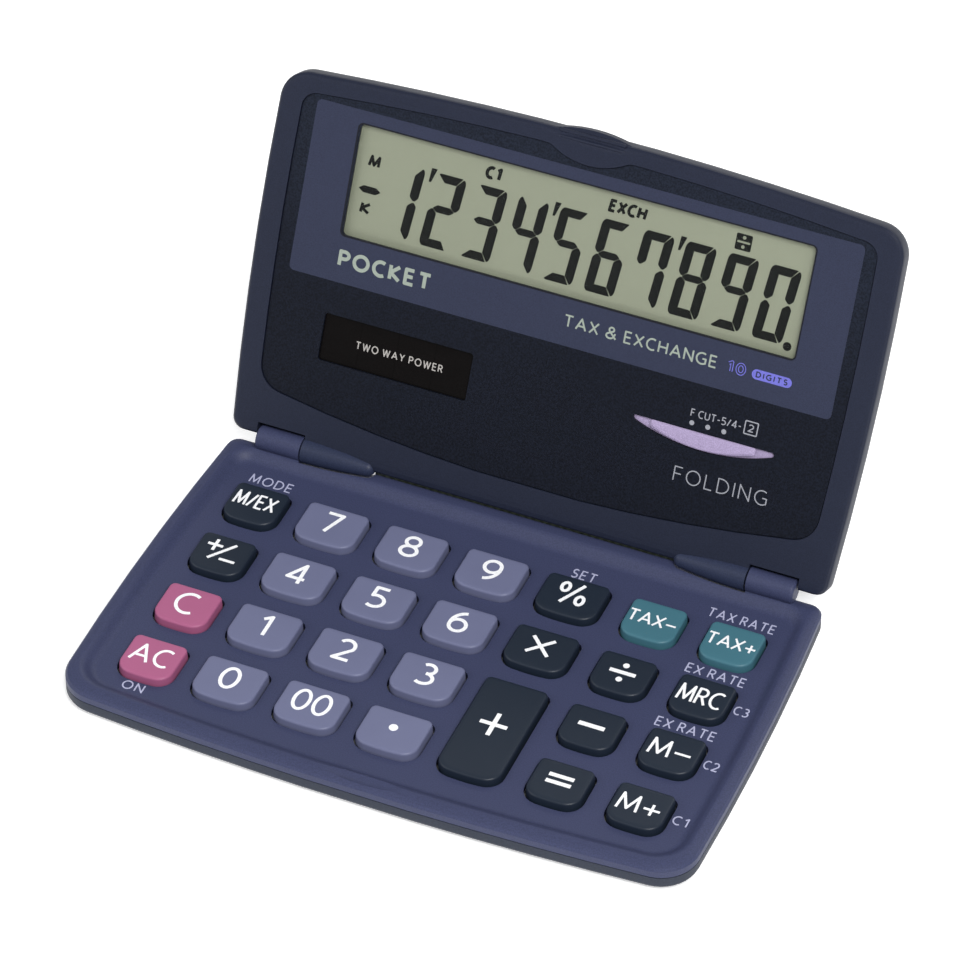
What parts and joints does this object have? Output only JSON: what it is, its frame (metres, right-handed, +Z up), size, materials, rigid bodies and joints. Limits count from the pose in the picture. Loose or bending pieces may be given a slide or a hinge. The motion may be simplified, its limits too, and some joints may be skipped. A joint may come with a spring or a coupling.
{
  "type": "folding pocket calculator",
  "caption": "Folding pocket calculator: a flat keypad leaf with domed push keys, hinged to a display leaf with a number window, a solar cell and a small slide selector.",
  "frame": {"origin": "centre of the keypad leaf's flat underside, half way along its depth and its width", "axes": "+X along the width to the user's right, +Y from the user towards the hinge, +Z up"},
  "size_m": [0.11, 0.0994, 0.0657],
  "materials": {
    "leaf_shell": "fine moulded grain, satin",
    "leaf_base": "fine moulded grain, matt",
    "circuit_board": "laminate with solder mask",
    "silicone": "matt",
    "screw_steel": "plated",
    "film": "varnished film",
    "number_key": "satin with printed legend",
    "dark_key": "satin with printed legend",
    "clear_key": "satin with printed legend",
    "tax_key": "satin with printed legend",
    "lid_frame": "fine spark grain, satin",
    "lid_back": "fine spark grain, satin",
    "fascia": "fine grain with printed band",
    "window": "clear",
    "display_glass": "grey-green polariser",
    "reflector": "matt film",
    "connector_rubber": "layered",
    "epoxy": "cast drop",
    "solar": "dark cell under glass",
    "lead_wire": "enamelled wire",
    "cell_can": "nickel plated",
    "contact_metal": "spring strip",
    "selector": "satin moulded"
  },
  "bodies": {
    "keypad_leaf": {"keypad_top_cover": "leaf_shell", "keypad_bottom_cover": "leaf_base", "keypad_circuit_board": "circuit_board", "keypad_rubber_mat": "silicone", "keypad_screws": "screw_steel", "flex_circuit": "film"},
    "key_mode_exchange": {"key_mode_exchange": "dark_key"},
    "key_seven": {"key_seven": "number_key"},
    "key_eight": {"key_eight": "number_key"},
    "key_nine": {"key_nine": "number_key"},
    "key_percent": {"key_percent": "dark_key"},
    "key_tax_minus": {"key_tax_minus": "tax_key"},
    "key_tax_plus": {"key_tax_plus": "tax_key"},
    "key_sign_change": {"key_sign_change": "dark_key"},
    "key_four": {"key_four": "number_key"},
    "key_five": {"key_five": "number_key"},
    "key_six": {"key_six": "number_key"},
    "key_multiply": {"key_multiply": "dark_key"},
    "key_divide": {"key_divide": "dark_key"},
    "key_memory_recall": {"key_memory_recall": "dark_key"},
    "key_clear": {"key_clear": "clear_key"},
    "key_one": {"key_one": "number_key"},
    "key_two": {"key_two": "number_key"},
    "key_three": {"key_three": "number_key"},
    "key_plus": {"key_plus": "dark_key"},
    "key_minus": {"key_minus": "dark_key"},
    "key_memory_minus": {"key_memory_minus": "dark_key"},
    "key_all_clear": {"key_all_clear": "clear_key"},
    "key_zero": {"key_zero": "number_key"},
    "key_double_zero": {"key_double_zero": "number_key"},
    "key_point": {"key_point": "number_key"},
    "key_equals": {"key_equals": "dark_key"},
    "key_memory_plus": {"key_memory_plus": "dark_key"},
    "display_leaf": {"display_front_frame": "lid_frame", "display_rear_cover": "lid_back", "fascia_panel": "fascia", "display_window": "window", "display_glass": "display_glass", "display_reflector": "reflector", "display_connector_strip": "connector_rubber", "main_circuit_board": "circuit_board", "chip_cover": "epoxy", "solar_cell": "solar", "solar_leads": "lead_wire", "button_cell": "cell_can", "cell_contact_positive": "contact_metal", "cell_contact_negative": "contact_metal", "display_screws": "screw_steel"},
    "selector": {"selector_slider": "selector", "selector_contact": "contact_metal"}
  },
  "joints": [
    {"name": "fold", "type": "hinge", "parent": "keypad_leaf", "child": "display_leaf", "pos_m": [0, 0.03369, 0.00611], "axis": [1, 0, 0], "range_deg": [-15, 116.3], "deforming": ["flex_circuit"]},
    {"name": "selector_slide", "type": "slide", "parent": "display_leaf", "child": "selector", "axis": [1, 0, 0], "range_m": [-0.0028, 0.0028]},
    {"name": "press_mode_exchange", "type": "slide", "parent": "keypad_leaf", "child": "key_mode_exchange", "axis": [0, 0, 1], "range_m": [-0.00065, 0], "stiffness_N_per_m": 800, "springref_m": 0.0003, "deforming": ["keypad_rubber_mat"]},
    {"name": "press_seven", "type": "slide", "parent": "keypad_leaf", "child": "key_seven", "axis": [0, 0, 1], "range_m": [-0.00065, 0], "stiffness_N_per_m": 800, "springref_m": 0.0003, "deforming": ["keypad_rubber_mat"]},
    {"name": "press_eight", "type": "slide", "parent": "keypad_leaf", "child": "key_eight", "axis": [0, 0, 1], "range_m": [-0.00065, 0], "stiffness_N_per_m": 800, "springref_m": 0.0003, "deforming": ["keypad_rubber_mat"]},
    {"name": "press_nine", "type": "slide", "parent": "keypad_leaf", "child": "key_nine", "axis": [0, 0, 1], "range_m": [-0.00065, 0], "stiffness_N_per_m": 800, "springref_m": 0.0003, "deforming": ["keypad_rubber_mat"]},
    {"name": "press_percent", "type": "slide", "parent": "keypad_leaf", "child": "key_percent", "axis": [0, 0, 1], "range_m": [-0.00065, 0], "stiffness_N_per_m": 800, "springref_m": 0.0003, "deforming": ["keypad_rubber_mat"]},
    {"name": "press_tax_minus", "type": "slide", "parent": "keypad_leaf", "child": "key_tax_minus", "axis": [0, 0, 1], "range_m": [-0.00065, 0], "stiffness_N_per_m": 800, "springref_m": 0.0003, "deforming": ["keypad_rubber_mat"]},
    {"name": "press_tax_plus", "type": "slide", "parent": "keypad_leaf", "child": "key_tax_plus", "axis": [0, 0, 1], "range_m": [-0.00065, 0], "stiffness_N_per_m": 800, "springref_m": 0.0003, "deforming": ["keypad_rubber_mat"]},
    {"name": "press_sign_change", "type": "slide", "parent": "keypad_leaf", "child": "key_sign_change", "axis": [0, 0, 1], "range_m": [-0.00065, 0], "stiffness_N_per_m": 800, "springref_m": 0.0003, "deforming": ["keypad_rubber_mat"]},
    {"name": "press_four", "type": "slide", "parent": "keypad_leaf", "child": "key_four", "axis": [0, 0, 1], "range_m": [-0.00065, 0], "stiffness_N_per_m": 800, "springref_m": 0.0003, "deforming": ["keypad_rubber_mat"]},
    {"name": "press_five", "type": "slide", "parent": "keypad_leaf", "child": "key_five", "axis": [0, 0, 1], "range_m": [-0.00065, 0], "stiffness_N_per_m": 800, "springref_m": 0.0003, "deforming": ["keypad_rubber_mat"]},
    {"name": "press_six", "type": "slide", "parent": "keypad_leaf", "child": "key_six", "axis": [0, 0, 1], "range_m": [-0.00065, 0], "stiffness_N_per_m": 800, "springref_m": 0.0003, "deforming": ["keypad_rubber_mat"]},
    {"name": "press_multiply", "type": "slide", "parent": "keypad_leaf", "child": "key_multiply", "axis": [0, 0, 1], "range_m": [-0.00065, 0], "stiffness_N_per_m": 800, "springref_m": 0.0003, "deforming": ["keypad_rubber_mat"]},
    {"name": "press_divide", "type": "slide", "parent": "keypad_leaf", "child": "key_divide", "axis": [0, 0, 1], "range_m": [-0.00065, 0], "stiffness_N_per_m": 800, "springref_m": 0.0003, "deforming": ["keypad_rubber_mat"]},
    {"name": "press_memory_recall", "type": "slide", "parent": "keypad_leaf", "child": "key_memory_recall", "axis": [0, 0, 1], "range_m": [-0.00065, 0], "stiffness_N_per_m": 800, "springref_m": 0.0003, "deforming": ["keypad_rubber_mat"]},
    {"name": "press_clear", "type": "slide", "parent": "keypad_leaf", "child": "key_clear", "axis": [0, 0, 1], "range_m": [-0.00065, 0], "stiffness_N_per_m": 800, "springref_m": 0.0003, "deforming": ["keypad_rubber_mat"]},
    {"name": "press_one", "type": "slide", "parent": "keypad_leaf", "child": "key_one", "axis": [0, 0, 1], "range_m": [-0.00065, 0], "stiffness_N_per_m": 800, "springref_m": 0.0003, "deforming": ["keypad_rubber_mat"]},
    {"name": "press_two", "type": "slide", "parent": "keypad_leaf", "child": "key_two", "axis": [0, 0, 1], "range_m": [-0.00065, 0], "stiffness_N_per_m": 800, "springref_m": 0.0003, "deforming": ["keypad_rubber_mat"]},
    {"name": "press_three", "type": "slide", "parent": "keypad_leaf", "child": "key_three", "axis": [0, 0, 1], "range_m": [-0.00065, 0], "stiffness_N_per_m": 800, "springref_m": 0.0003, "deforming": ["keypad_rubber_mat"]},
    {"name": "press_plus", "type": "slide", "parent": "keypad_leaf", "child": "key_plus", "axis": [0, 0, 1], "range_m": [-0.00065, 0], "stiffness_N_per_m": 800, "springref_m": 0.0003, "deforming": ["keypad_rubber_mat"]},
    {"name": "press_minus", "type": "slide", "parent": "keypad_leaf", "child": "key_minus", "axis": [0, 0, 1], "range_m": [-0.00065, 0], "stiffness_N_per_m": 800, "springref_m": 0.0003, "deforming": ["keypad_rubber_mat"]},
    {"name": "press_memory_minus", "type": "slide", "parent": "keypad_leaf", "child": "key_memory_minus", "axis": [0, 0, 1], "range_m": [-0.00065, 0], "stiffness_N_per_m": 800, "springref_m": 0.0003, "deforming": ["keypad_rubber_mat"]},
    {"name": "press_all_clear", "type": "slide", "parent": "keypad_leaf", "child": "key_all_clear", "axis": [0, 0, 1], "range_m": [-0.00065, 0], "stiffness_N_per_m": 800, "springref_m": 0.0003, "deforming": ["keypad_rubber_mat"]},
    {"name": "press_zero", "type": "slide", "parent": "keypad_leaf", "child": "key_zero", "axis": [0, 0, 1], "range_m": [-0.00065, 0], "stiffness_N_per_m": 800, "springref_m": 0.0003, "deforming": ["keypad_rubber_mat"]},
    {"name": "press_double_zero", "type": "slide", "parent": "keypad_leaf", "child": "key_double_zero", "axis": [0, 0, 1], "range_m": [-0.00065, 0], "stiffness_N_per_m": 800, "springref_m": 0.0003, "deforming": ["keypad_rubber_mat"]},
    {"name": "press_point", "type": "slide", "parent": "keypad_leaf", "child": "key_point", "axis": [0, 0, 1], "range_m": [-0.00065, 0], "stiffness_N_per_m": 800, "springref_m": 0.0003, "deforming": ["keypad_rubber_mat"]},
    {"name": "press_equals", "type": "slide", "parent": "keypad_leaf", "child": "key_equals", "axis": [0, 0, 1], "range_m": [-0.00065, 0], "stiffness_N_per_m": 800, "springref_m": 0.0003, "deforming": ["keypad_rubber_mat"]},
    {"name": "press_memory_plus", "type": "slide", "parent": "keypad_leaf", "child": "key_memory_plus", "axis": [0, 0, 1], "range_m": [-0.00065, 0], "stiffness_N_per_m": 800, "springref_m": 0.0003, "deforming": ["keypad_rubber_mat"]}
  ]
}
